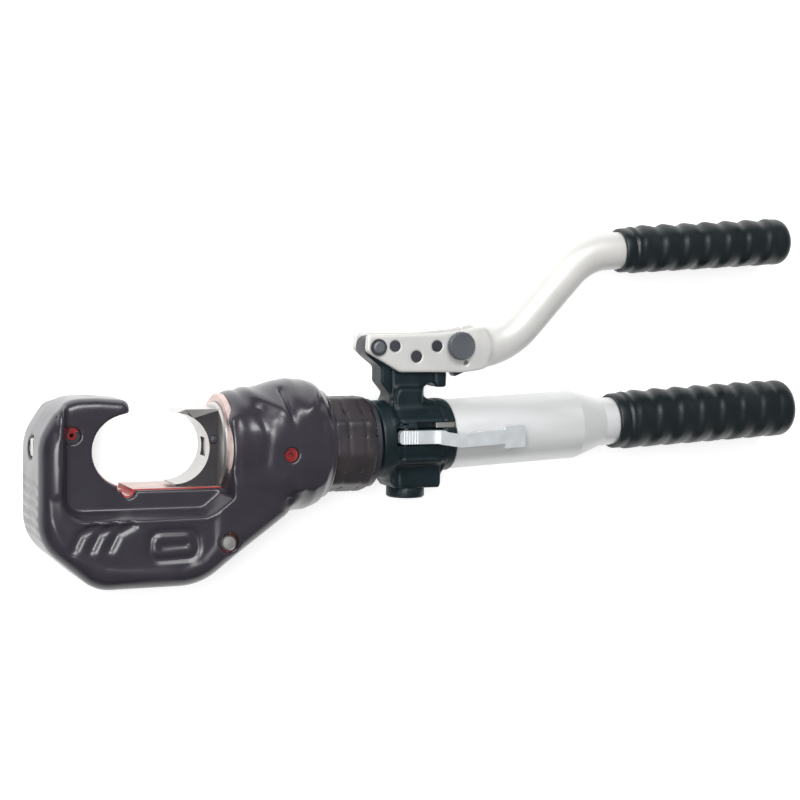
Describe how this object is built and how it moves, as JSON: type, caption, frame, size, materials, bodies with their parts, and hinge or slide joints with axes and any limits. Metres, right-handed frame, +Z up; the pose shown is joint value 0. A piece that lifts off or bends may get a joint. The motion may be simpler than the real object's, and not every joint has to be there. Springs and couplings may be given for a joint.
{
  "type": "hydraulic compression tool",
  "caption": "Hand-pumped hydraulic compression tool: a swivelling C head with half-round die seats, a ram, a lever handle, a reservoir handle and a pressure release lever.",
  "frame": {"origin": "centre of the fixed half-round die seat, on the tool's middle plane", "axes": "+X along the ram's axis from the head to the handles, +Y towards the moving handle, +Z up with the tool lying on its side, towards the release lever"},
  "size_m": [0.4644, 0.2032, 0.062],
  "materials": {
    "head_steel": "satin red paint with bare machined seats",
    "cover_rubber": "glossy dark moulded rubber",
    "collar_rubber": "satin dark rubber",
    "bright_steel": "machined, oiled",
    "hard_chrome": "ground hard chrome",
    "black_body": "satin black paint over cast and machined metal",
    "light_alloy": "satin, lightly scuffed",
    "grip_rubber": "black moulded rubber with wavy dimples",
    "seal_rubber": "matt black nitrile",
    "ptfe": "white, smooth",
    "spring_steel": "drawn wire",
    "zinc_steel": "bright zinc plate",
    "brass_gland": "turned",
    "bladder_rubber": "matt black rubber"
  },
  "bodies": {
    "head": {"head_frame": "head_steel", "head_cover": "cover_rubber", "neck_collar": "collar_rubber", "head_retainer": "spring_steel", "cover_rivet": "bright_steel", "cross_pin": "head_steel", "barrel_screw": "head_steel"},
    "die_button": {"die_button": "zinc_steel", "die_button_spring": "spring_steel"},
    "ram": {"ram": "hard_chrome", "ram_seal": "seal_rubber", "ram_backup_ring": "ptfe", "ram_anchor": "bright_steel", "return_spring": "spring_steel"},
    "ram_button": {"ram_button": "bright_steel", "ram_button_spring": "spring_steel"},
    "pump_body": {"pump_body": "black_body", "spigot_seal": "seal_rubber", "body_anchor": "bright_steel", "plunger_gland": "brass_gland", "suction_plug": "black_body", "suction_ball": "bright_steel", "suction_spring": "spring_steel", "check_ball": "bright_steel", "check_spring": "spring_steel", "relief_screw": "zinc_steel", "relief_spring": "spring_steel", "relief_ball": "bright_steel", "lever_pin": "zinc_steel", "fulcrum_pin": "zinc_steel", "fulcrum_clips": "spring_steel", "lever_catch": "bright_steel", "main_tube": "light_alloy", "main_grip": "grip_rubber", "oil_bladder": "bladder_rubber", "bladder_ring": "zinc_steel", "bladder_plug": "brass_gland"},
    "moving_handle": {"moving_handle": "light_alloy", "fork_pins": "zinc_steel", "plunger_pin": "zinc_steel", "moving_grip": "grip_rubber"},
    "plunger": {"pump_plunger": "bright_steel", "plunger_seal": "seal_rubber"},
    "release_lever": {"release_lever": "zinc_steel"},
    "release_needle": {"release_needle": "bright_steel", "release_spring": "spring_steel"},
    "handle_lock": {"lock_knob": "zinc_steel", "lock_shaft": "zinc_steel", "lock_hook": "bright_steel"}
  },
  "joints": [
    {"name": "head_swivel", "type": "hinge", "parent": "pump_body", "child": "head", "pos_m": [0.12, 0, 0], "axis": [1, 0, 0], "range_deg": [-90, 90]},
    {"name": "ram_slide", "type": "slide", "parent": "head", "child": "ram", "axis": [-1, 0, 0], "range_m": [0, 0.026], "stiffness_N_per_m": 900, "springref_m": -0.012, "deforming": ["return_spring"]},
    {"name": "die_button_press", "type": "slide", "parent": "head", "child": "die_button", "axis": [1, 0, 0], "range_m": [0, 0.002], "stiffness_N_per_m": 800, "springref_m": -0.002, "deforming": ["die_button_spring"]},
    {"name": "ram_button_press", "type": "slide", "parent": "ram", "child": "ram_button", "axis": [0, 0, -1], "range_m": [0, 0.0015], "stiffness_N_per_m": 600, "springref_m": -0.002, "deforming": ["ram_button_spring"]},
    {"name": "handle_pivot", "type": "hinge", "parent": "pump_body", "child": "moving_handle", "pos_m": [0.1422, 0.0539, 0], "axis": [0, 0, 1], "range_deg": [-12.5, 31]},
    {"name": "plunger_slide", "type": "slide", "parent": "pump_body", "child": "plunger", "axis": [0, 1, 0], "range_m": [-0.0058, 0.0127]},
    {"name": "lock_turn", "type": "hinge", "parent": "moving_handle", "child": "handle_lock", "pos_m": [0.1915, 0.0548, 0], "axis": [0, 0, 1], "range_deg": [-14, 0]},
    {"name": "release_press", "type": "hinge", "parent": "pump_body", "child": "release_lever", "pos_m": [0.157, 0.0045, 0.0182], "axis": [0, 1, 0], "range_deg": [0, 3.3], "stiffness_Nm_per_rad": 4, "springref_deg": -6.88},
    {"name": "needle_slide", "type": "slide", "parent": "pump_body", "child": "release_needle", "axis": [0, 0, -1], "range_m": [0, 0.0006], "deforming": ["release_spring"]}
  ],
  "couplings": [
    {"joint": "plunger_slide", "follows": "handle_pivot", "m_per_rad": 0.0231},
    {"joint": "needle_slide", "follows": "release_press", "m_per_rad": 0.009}
  ]
}
